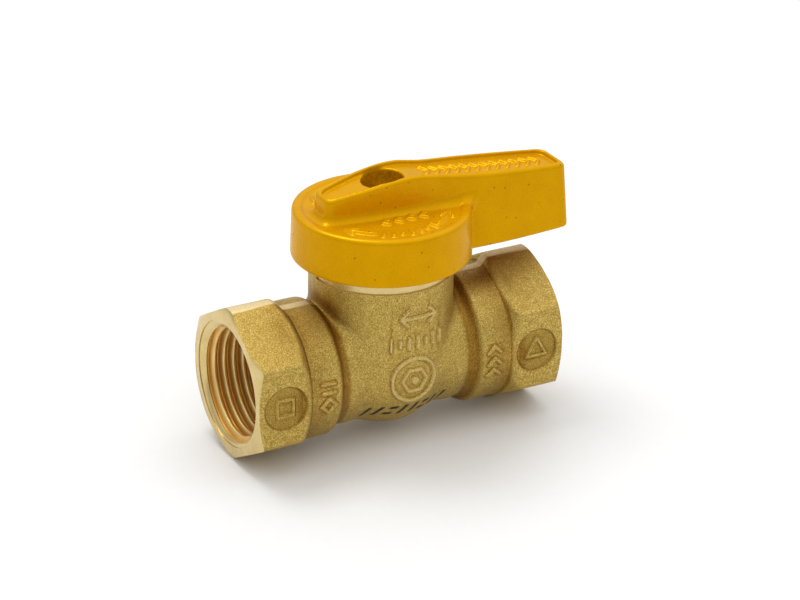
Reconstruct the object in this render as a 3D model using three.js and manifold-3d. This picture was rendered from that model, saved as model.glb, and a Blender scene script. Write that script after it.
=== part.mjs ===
// Lever-handle gas ball valve with two female pipe ports, 1/2-14 NPT, in millimetres.
// The origin is the centre of the ball, where the pipe axis meets the stem axis.
// +X runs along the pipe towards the tip of the lever, and +Z up the stem. The valve is open.
import * as THREE from 'three';
import { mergeVertices } from 'three/addons/utils/BufferGeometryUtils.js';
import Module from 'manifold-3d';

const wasm = await Module();
wasm.setup();

// Body: two hexagon ends, a collar and a waist on each side, and an upright column with a round belly.
const BODY_LENGTH = 59;
const HEX_ACROSS_FLATS = 25;
const HEX_LENGTH = 10.3;
const PARTING_FLAT_Z = 13.75;
const END_FACE_RADIUS = 12.6;
const COLLAR_RADIUS = 12.1;
const COLLAR_INNER_X = 13.4;
const WAIST_RADIUS = 10.8;
const COLUMN_RADIUS = 12.5;
const NECK = { radius: 12.2, bottom: 16.1, top: 18.3 };
const STEM_BOSS = { radius: 7, top: 19.4 };
const STOP_LUG = { inner: 9, outer: 12.4, top: 22.4, from: 90, to: 180 };

// Waterway: two threaded ports, the ball chamber with its screwed retainer, and the outlet passage.
const PORT = { radius: 9.6, depth: 13.6, mouthRadius: 10.7, leadIn: 1.2 };
const CHAMBER_RADIUS = 9.1;
const PASSAGE_RADIUS = 5.2;
const SEAT_SHOULDER_X = 9.5;
const GAP = 0.3;

// Ball and the two seat rings that hold it.
const BALL = { radius: 8.75, boreRadius: 4.75, slotWidth: 3.4, slotFloor: 6 };
const SEAT = { bore: 5, outer: 8.8, front: 4.6, back: 9.2, ledgeRadius: 7, ledgeX: 7.2 };
const SEAT_RING = { centre: 7.95, section: 0.65, x: 8.2 };
const RETAINER = { radius: 8.8, from: -14.6, to: -9.8, slotWidth: 2.4, slotDepth: 1.6 };

// Stem, from the tang in the ball's slot up to the two flats inside the handle.
const STEM = { radius: 4, flangeRadius: 5.2, flangeFrom: 9, flangeTo: 10.2, shoulder: 20.1, top: 23.9 };
const STEM_BORE_RADIUS = 4.25;
const STEM_POCKET = { radius: 5.5, top: 10.9 };
const STEM_DRIVE = { radius: 3.6, acrossFlats: 5 };
const TANG = { width: 6, thickness: 3, bottom: 6.3 };
const GROOVE = { radius: 2.9, width: 1.7, heights: [12.9, 16.1] };
const STEM_RING = { centre: 3.62, section: 0.48 };
const THRUST_WASHER = { inner: 4.3, from: 10.35, to: 10.75 };

// Handle: a round cup over the neck, and a lever on top of it.
const CUP = { bottom: 18.8, top: 27.2, radiusBottom: 15.6, radiusTop: 15.3, bore: 13.5, ceiling: 24.7 };
const HUB = { radius: 6.5, bottom: 20.6, driveTop: 24.2, seat: 25.7, fit: 0.25 };
const SCREW_ACCESS_RADIUS = 3.8;
const STOP_RIB = { inner: 9.4, bottom: 19.6, edge: 88.5, width: 12 };
const LEVER_CREST = 33.5;
const LEVER_DRAFT = 0.16;
const LEVER_PLAN = [
  [-11.9, 1.9], [-11.2, 2.7], [-4.6, 4], [1.5, 4.5], [8, 5.4],
  [13.5, 6.6], [20, 6.8], [28, 6.4], [33.3, 5.9], [34.4, 4.7],
];
const LEVER_RIDGE = [[3.2, 33.5], [9.3, 32.6], [16.5, 31.7], [23, 31.05], [35.6, 29.9]];
const LEVER_START = { x: -12.9, z: 30.95, crestX: 1.2 };
const PANEL = { rim: 1, depth: 0.9 };
const LEVER_WALL = 1.9;
const LEVER_CORE = { from: 16.6, to: 32.4 };

// Screw and spring washer that hold the handle on the stem.
const SCREW = { thread: 1.95, headRadius: 3.5, headHeight: 2.6, length: 10, recess: 1.4 };
const WASHER = { inner: 2.15, outer: 3.4, thickness: 0.9, split: 0.7 };
const TAPPED_HOLE = { radius: 2.25, depth: 9.5 };

const ROUND = 48;
const SMALL_ROUND = 32;
const AXIS = { x: 'x', z: 'z' };

const forgedBrass = new THREE.MeshStandardMaterial({ color: 0xb99a5b, roughness: 0.55, metalness: 1 });
const turnedBrass = new THREE.MeshStandardMaterial({ color: 0xd8bd74, roughness: 0.28, metalness: 1 });
const chrome = new THREE.MeshStandardMaterial({ color: 0xd6d8da, roughness: 0.08, metalness: 1 });
const sealPlastic = new THREE.MeshStandardMaterial({ color: 0xeeeeea, roughness: 0.5, metalness: 0 });
const sealRubber = new THREE.MeshStandardMaterial({ color: 0x161616, roughness: 0.75, metalness: 0 });
const yellowPaint = new THREE.MeshStandardMaterial({ color: 0xf2b705, roughness: 0.32, metalness: 0 });
const zincSteel = new THREE.MeshStandardMaterial({ color: 0xb9bcc0, roughness: 0.3, metalness: 1 });

// A closed geometry becomes a solid: seams are merged, and triangles that close up on an axis go.
function solidOf(geometry) {
  geometry.deleteAttribute('normal');
  geometry.deleteAttribute('uv');
  const merged = mergeVertices(geometry, 1e-4);
  const index = merged.index.array;
  const triangles = [];
  for (let i = 0; i < index.length; i += 3) {
    const [a, b, c] = [index[i], index[i + 1], index[i + 2]];
    if (a !== b && b !== c && c !== a) triangles.push(a, b, c);
  }
  const mesh = new wasm.Mesh({
    numProp: 3,
    vertProperties: new Float32Array(merged.attributes.position.array),
    triVerts: Uint32Array.from(triangles),
  });
  return new wasm.Manifold(mesh);
}

// Solid of revolution about X or Z. The points are [radius, place on the axis], anticlockwise.
function revolve(points, axis, segments = ROUND) {
  const profile = points.map(([radius, along]) => new THREE.Vector2(radius, along));
  const geometry = new THREE.LatheGeometry(profile, segments);
  if (axis === AXIS.x) geometry.rotateZ(-Math.PI / 2);
  else geometry.rotateX(Math.PI / 2);
  return solidOf(geometry);
}

function rod(axis, radius, from, to, segments = ROUND) {
  return revolve([[0, from], [radius, from], [radius, to], [0, to]], axis, segments);
}

function ring(axis, inner, outer, from, to, segments = ROUND) {
  return revolve([[inner, from], [outer, from], [outer, to], [inner, to], [inner, from]], axis, segments);
}

function torus(axis, centre, section, along) {
  const geometry = new THREE.TorusGeometry(centre, section, 8, SMALL_ROUND);
  if (axis === AXIS.x) geometry.rotateY(Math.PI / 2);
  const offset = axis === AXIS.x ? [along, 0, 0] : [0, 0, along];
  return solidOf(geometry.translate(...offset));
}

function box(low, high) {
  const size = low.map((value, i) => high[i] - value);
  const middle = low.map((value, i) => (high[i] + value) / 2);
  return solidOf(new THREE.BoxGeometry(...size).translate(...middle));
}

function extrude(shape, from, to, curveSegments = 12) {
  const settings = { depth: to - from, bevelEnabled: false, curveSegments };
  return new THREE.ExtrudeGeometry(shape, settings).translate(0, 0, from);
}

// Part of a ring about Z between two angles in degrees.
function ringSector(inner, outer, from, to, low, high) {
  const start = THREE.MathUtils.degToRad(from);
  const end = THREE.MathUtils.degToRad(to);
  const shape = new THREE.Shape();
  shape.absarc(0, 0, outer, start, end, false);
  shape.absarc(0, 0, inner, end, start, true);
  shape.closePath();
  return solidOf(extrude(shape, low, high, 16));
}

function meshOf(name, solid, material) {
  const { vertProperties, triVerts } = solid.getMesh();
  const geometry = new THREE.BufferGeometry();
  geometry.setAttribute('position', new THREE.BufferAttribute(vertProperties, 3));
  geometry.setIndex(new THREE.BufferAttribute(triVerts, 1));
  geometry.computeVertexNormals();
  const mesh = new THREE.Mesh(geometry, material);
  mesh.name = name;
  return mesh;
}

const sphere = (radius) => solidOf(new THREE.SphereGeometry(radius, 36, 20));

// --- Body -----------------------------------------------------------------------------------

// Hexagon end on the +X side. Its corners point up and down, where they are trimmed flat.
function hexEnd() {
  const end = BODY_LENGTH / 2;
  const inner = end - HEX_LENGTH;
  const cornerRadius = HEX_ACROSS_FLATS / Math.sqrt(3);
  const shape = new THREE.Shape();
  for (let corner = 0; corner < 6; corner += 1) {
    const angle = (corner * Math.PI) / 3;
    const point = [cornerRadius * Math.cos(angle), cornerRadius * Math.sin(angle)];
    if (corner === 0) shape.moveTo(...point);
    else shape.lineTo(...point);
  }
  shape.closePath();
  const prism = solidOf(extrude(shape, inner - 1, end).rotateY(Math.PI / 2));
  const turned = revolve([
    [0, inner - 1],
    [COLLAR_RADIUS - 0.6, inner - 1],
    [COLLAR_RADIUS, inner],
    [cornerRadius + 0.1, inner + 1],
    [cornerRadius + 0.1, end - 1.05],
    [END_FACE_RADIUS, end],
    [0, end],
  ], AXIS.x);
  const trim = box([inner - 2, -20, -PARTING_FLAT_Z], [end + 1, 20, PARTING_FLAT_Z]);
  return prism.intersect(turned).intersect(trim);
}

// Collar and waist on the +X side, up to the middle of the body.
function collarAndWaist() {
  const hexInner = BODY_LENGTH / 2 - HEX_LENGTH;
  return revolve([
    [0, -1],
    [WAIST_RADIUS, -1],
    [WAIST_RADIUS, COLLAR_INNER_X - 0.8],
    [COLLAR_RADIUS - 0.4, COLLAR_INNER_X],
    [COLLAR_RADIUS, COLLAR_INNER_X + 0.6],
    [COLLAR_RADIUS, hexInner + 0.5],
    [0, hexInner + 0.5],
  ], AXIS.x);
}

// Upright column with a half-round belly below it and a turned neck on top.
function columnAndBelly() {
  const belly = new THREE.EllipseCurve(0, 0, COLUMN_RADIUS, COLUMN_RADIUS, -Math.PI / 2, 0).getPoints(10);
  return revolve([
    [0, -COLUMN_RADIUS],
    ...belly.slice(1).map(({ x, y }) => [x, y]),
    [COLUMN_RADIUS, NECK.bottom],
    [NECK.radius, NECK.bottom],
    [NECK.radius, NECK.top],
    [0, NECK.top],
  ], AXIS.z);
}

function waterway() {
  const end = BODY_LENGTH / 2;
  const portEnd = end - PORT.depth;
  return revolve([
    [0, -end - 1],
    [PORT.mouthRadius + 0.9, -end - 1],
    [PORT.radius, -end + PORT.leadIn],
    [PORT.radius, -portEnd],
    [CHAMBER_RADIUS, -portEnd],
    [CHAMBER_RADIUS, SEAT_SHOULDER_X],
    [PASSAGE_RADIUS, SEAT_SHOULDER_X],
    [PASSAGE_RADIUS, portEnd - 2.5],
    [PORT.radius, portEnd],
    [PORT.radius, end - PORT.leadIn],
    [PORT.mouthRadius + 0.9, end + 1],
    [0, end + 1],
  ], AXIS.x);
}

function stemWay() {
  return revolve([
    [0, 0],
    [STEM_POCKET.radius, 0],
    [STEM_POCKET.radius, STEM_POCKET.top],
    [STEM_BORE_RADIUS, STEM_POCKET.top],
    [STEM_BORE_RADIUS, STEM_BOSS.top + 1],
    [0, STEM_BOSS.top + 1],
  ], AXIS.z);
}

function valveBody() {
  const side = hexEnd().add(collarAndWaist());
  const boss = rod(AXIS.z, STEM_BOSS.radius, NECK.bottom, STEM_BOSS.top);
  const { inner, outer, from, to, top } = STOP_LUG;
  const lug = ringSector(inner, outer, from, to, NECK.bottom - 1, top);
  return side.add(side.rotate([0, 0, 180]))
    .add(columnAndBelly())
    .add(boss)
    .add(lug)
    .subtract(waterway())
    .subtract(stemWay());
}

// --- Ball, seats and retainer ---------------------------------------------------------------

function ball() {
  const bore = rod(AXIS.x, BALL.boreRadius, -BALL.radius - 1, BALL.radius + 1);
  const half = BALL.slotWidth / 2;
  const slot = box([-half, -BALL.radius - 1, BALL.slotFloor], [half, BALL.radius + 1, BALL.radius + 1]);
  return sphere(BALL.radius).subtract(bore).subtract(slot);
}

// Seat ring on the outlet side, with a ledge for the rubber ring behind it.
function seat() {
  return revolve([
    [SEAT.bore, SEAT.front],
    [SEAT.outer, SEAT.front],
    [SEAT.outer, SEAT.ledgeX],
    [SEAT.ledgeRadius, SEAT.ledgeX],
    [SEAT.ledgeRadius, SEAT.back],
    [SEAT.bore, SEAT.back],
    [SEAT.bore, SEAT.front],
  ], AXIS.x).subtract(sphere(BALL.radius + GAP));
}

// Retainer with two driver slots across its outer face.
function seatRetainer() {
  const blank = ring(AXIS.x, PASSAGE_RADIUS, RETAINER.radius, RETAINER.from, RETAINER.to);
  const half = RETAINER.slotWidth / 2;
  const slotEnd = RETAINER.from + RETAINER.slotDepth;
  const slot = box([RETAINER.from - 1, -half, -RETAINER.radius - 1], [slotEnd, half, RETAINER.radius + 1]);
  return blank.subtract(slot);
}

// --- Stem -----------------------------------------------------------------------------------

function stem() {
  const turned = revolve([
    [0, STEM.flangeFrom],
    [STEM.flangeRadius, STEM.flangeFrom],
    [STEM.flangeRadius, STEM.flangeTo],
    [STEM.radius, STEM.flangeTo],
    [STEM.radius, STEM.shoulder],
    [STEM_DRIVE.radius, STEM.shoulder],
    [STEM_DRIVE.radius, STEM.top - 0.4],
    [STEM_DRIVE.radius - 0.4, STEM.top],
    [0, STEM.top],
  ], AXIS.z, SMALL_ROUND);
  const tang = rod(AXIS.z, TANG.width / 2, TANG.bottom, STEM.flangeFrom + 0.5, SMALL_ROUND)
    .intersect(box([-TANG.thickness / 2, -TANG.width, 0], [TANG.thickness / 2, TANG.width, STEM.top]));
  let body = turned.add(tang);
  for (const height of GROOVE.heights) {
    const low = height - GROOVE.width / 2;
    body = body.subtract(ring(AXIS.z, GROOVE.radius, STEM.radius + 1, low, low + GROOVE.width, SMALL_ROUND));
  }
  for (const side of [-1, 1]) {
    const flat = box([-8, STEM_DRIVE.acrossFlats / 2, STEM.shoulder], [8, 8, STEM.top + 1]);
    body = body.subtract(side > 0 ? flat : flat.rotate([0, 0, 180]));
  }
  return body.subtract(rod(AXIS.z, TAPPED_HOLE.radius, STEM.top - TAPPED_HOLE.depth, STEM.top + 1, 24));
}

// --- Handle ---------------------------------------------------------------------------------

// How far the lever's side leans in for each millimetre of height: upright at the disc, drafted beyond.
const leverLean = (x) => LEVER_DRAFT * THREE.MathUtils.smoothstep(x, 0, 15);

// Upright block in the lever's plan outline, with drafted sides, set in by a wall thickness.
function leverPlan(inset, low, high) {
  const side = LEVER_PLAN.map(([x, halfWidth]) => new THREE.Vector2(x, halfWidth - inset));
  const last = side.length - 1;
  side[0].x += inset;
  side[last].x -= inset;
  const outline = new THREE.SplineCurve(side).getPoints(27);
  const mirrored = outline.map(({ x, y }) => new THREE.Vector2(x, -y)).reverse();
  const geometry = extrude(new THREE.Shape([...mirrored, ...outline].reverse()), low, high);
  const position = geometry.attributes.position;
  for (let i = 0; i < position.count; i += 1) {
    const y = position.getY(i);
    const lean = leverLean(position.getX(i)) * (position.getZ(i) - CUP.bottom);
    position.setY(i, y - Math.sign(y) * lean);
  }
  return solidOf(geometry);
}

// Everything below the lever's top line, lowered by a drop. The line ramps up and then falls to the tip.
function underRidge(drop) {
  const ridge = new THREE.SplineCurve(LEVER_RIDGE.map(([x, z]) => new THREE.Vector2(x, z - drop)));
  const outline = [
    new THREE.Vector2(LEVER_START.x, LEVER_START.z - drop),
    new THREE.Vector2(LEVER_START.crestX, LEVER_CREST - 0.05 - drop),
    ...ridge.getPoints(20),
    new THREE.Vector2(LEVER_RIDGE.at(-1)[0], 0),
    new THREE.Vector2(LEVER_START.x, 0),
  ];
  const geometry = extrude(new THREE.Shape(outline.reverse()), -10, 10);
  return solidOf(geometry.rotateX(Math.PI / 2));
}

function handle() {
  const cup = revolve([
    [0, CUP.bottom],
    [CUP.radiusBottom, CUP.bottom],
    [CUP.radiusTop, CUP.top - 0.6],
    [CUP.radiusTop - 0.6, CUP.top],
    [0, CUP.top],
  ], AXIS.z);
  const lever = leverPlan(0, CUP.bottom, LEVER_CREST + 1).intersect(underRidge(0));
  const cavity = rod(AXIS.z, CUP.bore, 0, CUP.ceiling);
  const hub = rod(AXIS.z, HUB.radius, HUB.bottom, CUP.ceiling + 1);
  let solid = cup.add(lever).subtract(cavity).add(hub);

  // Two stop ribs inside the cup meet the lug on the neck at each end of the quarter turn.
  for (const edge of [STOP_RIB.edge - STOP_RIB.width, -STOP_RIB.edge]) {
    const outer = CUP.bore + 0.5;
    solid = solid.add(
      ringSector(STOP_RIB.inner, outer, edge, edge + STOP_RIB.width, STOP_RIB.bottom, CUP.ceiling + 1),
    );
  }

  // Raised rim round a sunk panel on top, and a cored underside beyond the cup.
  const panel = leverPlan(PANEL.rim, CUP.top, LEVER_CREST + 2).subtract(underRidge(PANEL.depth));
  const coreLimits = box([LEVER_CORE.from, -20, 0], [LEVER_CORE.to, 20, 40]);
  const core = leverPlan(LEVER_WALL, CUP.bottom - 1, LEVER_CREST)
    .intersect(underRidge(LEVER_WALL + PANEL.depth))
    .intersect(coreLimits);

  const driveRadius = STEM_DRIVE.radius + HUB.fit;
  const driveHalf = STEM_DRIVE.acrossFlats / 2 + HUB.fit;
  const drive = rod(AXIS.z, driveRadius, 0, HUB.driveTop, SMALL_ROUND)
    .intersect(box([-8, -driveHalf, 0], [8, driveHalf, 40]));
  const screwHole = rod(AXIS.z, TAPPED_HOLE.radius, 0, HUB.seat + 1, 24);
  const access = rod(AXIS.z, SCREW_ACCESS_RADIUS, HUB.seat, LEVER_CREST + 2, SMALL_ROUND);
  return solid.subtract(panel).subtract(core).subtract(drive).subtract(screwHole).subtract(access);
}

// Cheese-head screw with a cross recess.
function handleScrew() {
  const headFrom = HUB.seat + WASHER.thickness + 0.2;
  const headTo = headFrom + SCREW.headHeight;
  const turned = revolve([
    [0, headFrom - SCREW.length],
    [SCREW.thread, headFrom - SCREW.length],
    [SCREW.thread, headFrom],
    [SCREW.headRadius, headFrom],
    [SCREW.headRadius, headTo - 0.5],
    [SCREW.headRadius - 0.5, headTo],
    [0, headTo],
  ], AXIS.z, SMALL_ROUND);
  const arm = box([-2.1, -0.45, headTo - SCREW.recess], [2.1, 0.45, headTo + 1]);
  return turned.subtract(arm.add(arm.rotate([0, 0, 90])));
}

function springWasher() {
  const low = HUB.seat + 0.1;
  const whole = ring(AXIS.z, WASHER.inner, WASHER.outer, low, low + WASHER.thickness, SMALL_ROUND);
  return whole.subtract(box([0, -WASHER.split / 2, low - 1], [5, WASHER.split / 2, low + 2]));
}

// --- Assembly -------------------------------------------------------------------------------

const outletSeat = seat();
const seatRing = torus(AXIS.x, SEAT_RING.centre, SEAT_RING.section, SEAT_RING.x);
const thrustWasher = ring(
  AXIS.z, THRUST_WASHER.inner, STEM.flangeRadius, THRUST_WASHER.from, THRUST_WASHER.to, SMALL_ROUND,
);

const valve = new THREE.Group();
valve.add(
  meshOf('valve_body', valveBody(), forgedBrass),
  meshOf('seat_retainer', seatRetainer(), turnedBrass),
  meshOf('seat_inlet', outletSeat.rotate([0, 0, 180]), sealPlastic),
  meshOf('seat_outlet', outletSeat, sealPlastic),
  meshOf('seat_oring_inlet', seatRing.rotate([0, 0, 180]), sealRubber),
  meshOf('seat_oring_outlet', seatRing, sealRubber),
  meshOf('ball', ball(), chrome),
  meshOf('stem', stem(), turnedBrass),
  meshOf('stem_thrust_washer', thrustWasher, sealPlastic),
  meshOf('handle', handle(), yellowPaint),
  meshOf('handle_screw', handleScrew(), zincSteel),
  meshOf('spring_washer', springWasher(), zincSteel),
);
GROOVE.heights.forEach((height, i) => {
  const name = ['stem_oring_lower', 'stem_oring_upper'][i];
  valve.add(meshOf(name, torus(AXIS.z, STEM_RING.centre, STEM_RING.section, height), sealRubber));
});

export default valve;
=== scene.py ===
import math

import bmesh
import bpy
import numpy as np
from mathutils import Matrix, Vector


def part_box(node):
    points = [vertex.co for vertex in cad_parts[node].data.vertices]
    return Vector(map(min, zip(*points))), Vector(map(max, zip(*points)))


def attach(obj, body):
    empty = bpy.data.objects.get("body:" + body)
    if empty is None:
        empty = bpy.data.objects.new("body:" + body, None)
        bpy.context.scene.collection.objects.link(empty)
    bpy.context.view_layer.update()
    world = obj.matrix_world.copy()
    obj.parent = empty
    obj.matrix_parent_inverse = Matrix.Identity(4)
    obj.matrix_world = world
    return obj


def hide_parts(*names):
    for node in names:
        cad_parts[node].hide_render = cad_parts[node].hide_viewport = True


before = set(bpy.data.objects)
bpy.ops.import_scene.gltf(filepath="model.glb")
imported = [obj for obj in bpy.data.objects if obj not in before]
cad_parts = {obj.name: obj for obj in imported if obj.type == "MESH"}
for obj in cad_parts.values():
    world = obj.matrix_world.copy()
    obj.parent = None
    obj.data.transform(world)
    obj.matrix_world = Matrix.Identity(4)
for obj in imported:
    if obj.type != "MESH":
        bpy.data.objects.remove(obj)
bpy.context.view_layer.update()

# A gas ball valve: the forged body, the cast handle and the turned parts, on a pale floor.
# Shapes are worked out in millimetres, in the frame's axes, and become metres as meshes are made.
MM = 0.001


def box_mm(node):
    """A CAD node's lowest and highest corners, in millimetres."""
    low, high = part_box(node)
    return low / MM, high / MM


BODY_LOW, BODY_HIGH = box_mm("valve_body")
HANDLE_LOW, HANDLE_HIGH = box_mm("handle")

# Body. Its front and back halves are alike, and so are its two ends.
END_X = BODY_HIGH.x
HEX_HALF = 12.5
HEX_INNER_X = END_X - 10.3
PARTING_Z = -BODY_LOW.z
END_FACE_RADIUS = 12.6
COLLAR_RADIUS = 12.1
COLLAR_INNER_X = 13.2
SHOULDER_SLOPE, SHOULDER_LENGTH = 1.3, 1.64
WAIST_RADIUS = 10.8
SWELL, SWELL_X, SWELL_WIDTH = 0.35, 10, 1.9
WAIST_FILLET, HEX_FILLET, COLUMN_FILLET = 1.7, 0.7, 1.4
GROOVE_DEPTH, GROOVE_WIDTH = 0.12, 0.34
COLUMN_RADIUS = 12.5
NECK_RADIUS = 12.2
NECK_BOTTOM, NECK_TOP = 16.1, 18.3
BOSS_RADIUS = 7.0
BOSS_TOP = 19.4
LUG_INNER, LUG_OUTER, LUG_TOP = 9.0, 12.4, BODY_HIGH.z
LUG_FROM, LUG_TO = 90, 180
MOUTH_RADIUS = 10.95
MOUTH_LEDGE = 0.2
LEAD_IN, LEAD_IN_REST = 1.5, 1.6
CHAMFER_REACH, CHAMFER_FALL = 17, 2.2
THREAD_PITCH = 1.814
THREAD_HEIGHT = 1.3
THREAD_MIDDLE = 9.95
THREAD_TAPER = 1 / 32
PORT_DEPTH = 13.6
CHAMBER_RADIUS = 9.1
PASSAGE_RADIUS = 5.2
SEAT_SHOULDER_X = 9.5
STEM_POCKET_RADIUS, STEM_POCKET_TOP = 5.5, 10.9
STEM_BORE_RADIUS = 4.25
PARTING_STRIP = 1.35
ARROW_Z, BARS_Z, RING_Z = 11.4, 6.7, -0.4
LEFT_MARK_X, RIGHT_MARK_X = -16.2, 16.1
STAMP_RADIUS = 4.0
STAMP_DEPTH = 0.42
MARK_HEIGHT = 0.42
MARK_FLANK = 0.13
COLUMN_STROKE, COLLAR_STROKE, STAMP_STROKE = 0.28, 0.27, 0.22
BODY_TRIANGLES = 146_000

# How far away the walls of a hollow are looked for, and how much each cause of painted shade counts;
# EDGE_LIMIT caps the painted highlight on edges and MARK_SHADE sets the painted highlight on the tops of
# marks.
HOLLOW_REACH, WIDE_REACH = 0.9, 1.8
EDGE_LIMIT = -0.15
WIDE_HOLLOWS = 0.12
CREASE_SHADE = 0.42
FOOT_SHADE = 0.3
MARK_SHADE = 0.8

# Ink on the forging: how far its row lies below the axis, the pitch and lean of its strokes, and where in
# its cell a stroke stands.
INK_DROP = 6.6
INK_PITCH = 2.1
INK_LEAN = 0.6
INK_MIDDLE = 0.9

# Handle.
CUP_BOTTOM = HANDLE_LOW.z
CUP_TOP = 27.2
CUP_RADIUS = HANDLE_HIGH.y
CUP_DRAFT = 0.03
CUP_BORE = 13.5
CUP_CEILING = 24.7
CUP_RIM = 1.3
CUP_RIM_HEIGHT = 0.35
HUB_RADIUS = 6.5
HUB_BOTTOM = 20.6
DRIVE_RADIUS, DRIVE_HALF, DRIVE_TOP = 3.85, 2.75, 24.2
SCREW_SEAT = 25.7
SCREW_HOLE_RADIUS = 2.25
ACCESS_RADIUS = 3.65
RIB_INNER = 9.4
RIB_BOTTOM = 19.6
RIB_FROM, RIB_TO = 76.5, 88.5
LEVER_TIP = HANDLE_HIGH.x
LEVER_START = -11.9
LEVER_CREST = HANDLE_HIGH.z
LEVER_DRAFT = 0.16
# The lever's half width, and the height of its top line from the crest on, at places along X.
LEVER_WIDTH = [(-11.9, 2.7), (-4.6, 4.0), (1.5, 4.5), (8, 5.4),
               (13.5, 6.6), (20, 6.8), (28, 6.4), (34.4, 5.8)]
LEVER_RIDGE = [(1.2, 33.5), (4.5, 33.3), (9.3, 32.55), (16.5, 31.7), (23, 31.05), (35.6, 29.95)]
LEVER_RAMP = 0.186
LEVER_KNEE = 1.1
LEVER_CORE = (16.6, 32.4)
LEVER_WALL = 1.9
PANEL_RIM = 0.95
PANEL_DEPTH = 0.8
HANDLE_TRIANGLES = 176_000
PAINT_MARK_HEIGHT = 0.42
PAINT_MARK_FLANK = 0.14
PAINT_STROKE = 0.26
DISC_MARK_RADIUS = 11.6
DISC_MARK_TURN = math.radians(3)
PANEL_MARKS = (7.6, 31.6)
PANEL_MARK_PITCH = 2.0

# Inner parts.
BALL_RADIUS, BALL_BORE, BALL_SLOT, BALL_SLOT_FLOOR = 8.75, 4.75, 3.4, 6.0
STEM_RADIUS, STEM_GROOVE_RADIUS, STEM_DRIVE_RADIUS = 4.0, 2.9, 3.6
STEM_FLATS_Z, STEM_FLATS_HALF = 20.1, 2.5
TANG_RADIUS, TANG_HALF = 3, 1.5
SEAL_GROOVE_HALF = 0.85
SCREW_PITCH = 0.8

# Meshes.
GRID_STEP = 0.2
WELD_GAP = 0.003 * MM


# --- Signed distance fields on a grid ---

class Grid:
    """Sample points over a box, with each axis as an array that broadcasts against the others."""

    def __init__(self, low, high, step):
        margin = 2 * step
        self.step = step
        self.low = np.array([value - margin for value in low])
        axes = [np.arange(a - margin, b + margin + step, step, dtype=np.float32) for a, b in zip(low, high)]
        self.x, self.y, self.z = np.meshgrid(*axes, indexing="ij", sparse=True)


def smooth_union(a, b, radius):
    """Union of two fields, with a fillet about as wide as the radius where they meet."""
    blend = np.clip(0.5 + 0.5 * (b - a) / radius, 0, 1)
    return b + (a - b) * blend - radius * blend * (1 - blend)


def smooth_meet(a, b, radius):
    """Intersection of two fields, with a rounded edge."""
    return -smooth_union(-a, -b, radius)


def smooth_cut(a, b, radius):
    """Field a with field b taken away, with a rounded edge."""
    return smooth_meet(a, -b, radius)


def step_between(value, low, high):
    """Smooth step from 0 at low to 1 at high."""
    t = np.clip((value - low) / (high - low), 0, 1)
    return t * t * (3 - 2 * t)


def slab(value, low, high):
    return np.maximum(low - value, value - high)


def sample(field, grid, points):
    """Field values at points, by trilinear interpolation."""
    place = (points - grid.low) / grid.step
    cell = np.clip(np.floor(place).astype(int), 0, np.array(field.shape) - 2)
    part = np.clip(place - cell, 0, 1)
    result = np.zeros(len(points))
    for dx in (0, 1):
        for dy in (0, 1):
            for dz in (0, 1):
                near = [np.abs(1 - step - part[:, axis]) for axis, step in enumerate((dx, dy, dz))]
                value = field[cell[:, 0] + dx, cell[:, 1] + dy, cell[:, 2] + dz]
                result += near[0] * near[1] * near[2] * value
    return result


def slope(field, grid, points):
    """The field's gradient at points. On the surface it points outwards and is about 1 long."""
    gradient = np.empty_like(points)
    for axis in range(3):
        offset = np.zeros(3)
        offset[axis] = grid.step * 0.5
        rise = sample(field, grid, points + offset) - sample(field, grid, points - offset)
        gradient[:, axis] = rise / grid.step
    return gradient


def unit(vectors):
    return vectors / np.maximum(np.linalg.norm(vectors, axis=1, keepdims=True), 1e-6)


def pull_to_surface(field, grid, points, rounds=3):
    """Moves points along the field's gradient until they lie where it is zero."""
    for _ in range(rounds):
        gradient = slope(field, grid, points)
        value = sample(field, grid, points)
        length = np.maximum((gradient ** 2).sum(1), 0.05)
        move = -gradient * (value / length)[:, None]
        points = points + np.clip(move, -grid.step * 0.5, grid.step * 0.5)
    return points


def surface_net(field, grid):
    """Points and quads of the surface where the field changes sign, one point in each crossed cell."""
    inside = field < 0
    cells = tuple(size - 1 for size in field.shape)
    total = np.zeros(cells + (3,), np.float32)
    count = np.zeros(cells, np.float32)
    crossings = []
    for axis in range(3):
        near = tuple(slice(0, -1) if i == axis else slice(None) for i in range(3))
        far = tuple(slice(1, None) if i == axis else slice(None) for i in range(3))
        crossed = inside[near] != inside[far]
        crossings.append(crossed)
        span = np.where(crossed, field[near] - field[far], 1)
        along = np.where(crossed, field[near] / span, 0)
        others = [i for i in range(3) if i != axis]
        for u in (0, 1):
            for v in (0, 1):
                part = [slice(None)] * 3
                part[others[0]] = slice(u, cells[others[0]] + u)
                part[others[1]] = slice(v, cells[others[1]] + v)
                part = tuple(part)
                hit = crossed[part]
                count += hit
                total[..., axis] += along[part]
                total[..., others[0]] += hit * u
                total[..., others[1]] += hit * v
    used = count > 0
    number = np.full(cells, -1, np.int64)
    number[used] = np.arange(used.sum())
    corner = np.argwhere(used)
    points = grid.low + (corner + total[used] / count[used][:, None]) * grid.step
    quads = []
    for axis in range(3):
        a, b = [(1, 2), (2, 0), (0, 1)][axis]
        place = np.argwhere(crossings[axis])
        past_start = (place[:, a] > 0) & (place[:, b] > 0)
        before_end = (place[:, a] < cells[a]) & (place[:, b] < cells[b])
        place = place[past_start & before_end]
        around = []
        for da, db in ((-1, -1), (0, -1), (0, 0), (-1, 0)):
            cell = place.copy()
            cell[:, a] += da
            cell[:, b] += db
            around.append(number[cell[:, 0], cell[:, 1], cell[:, 2]])
        quad = np.stack(around, 1)
        outward = inside[place[:, 0], place[:, 1], place[:, 2]]
        quads.append(np.where(outward[:, None], quad, quad[:, ::-1]))
    return pull_to_surface(field, grid, points), np.concatenate(quads)


# --- Raised marks ---

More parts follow.
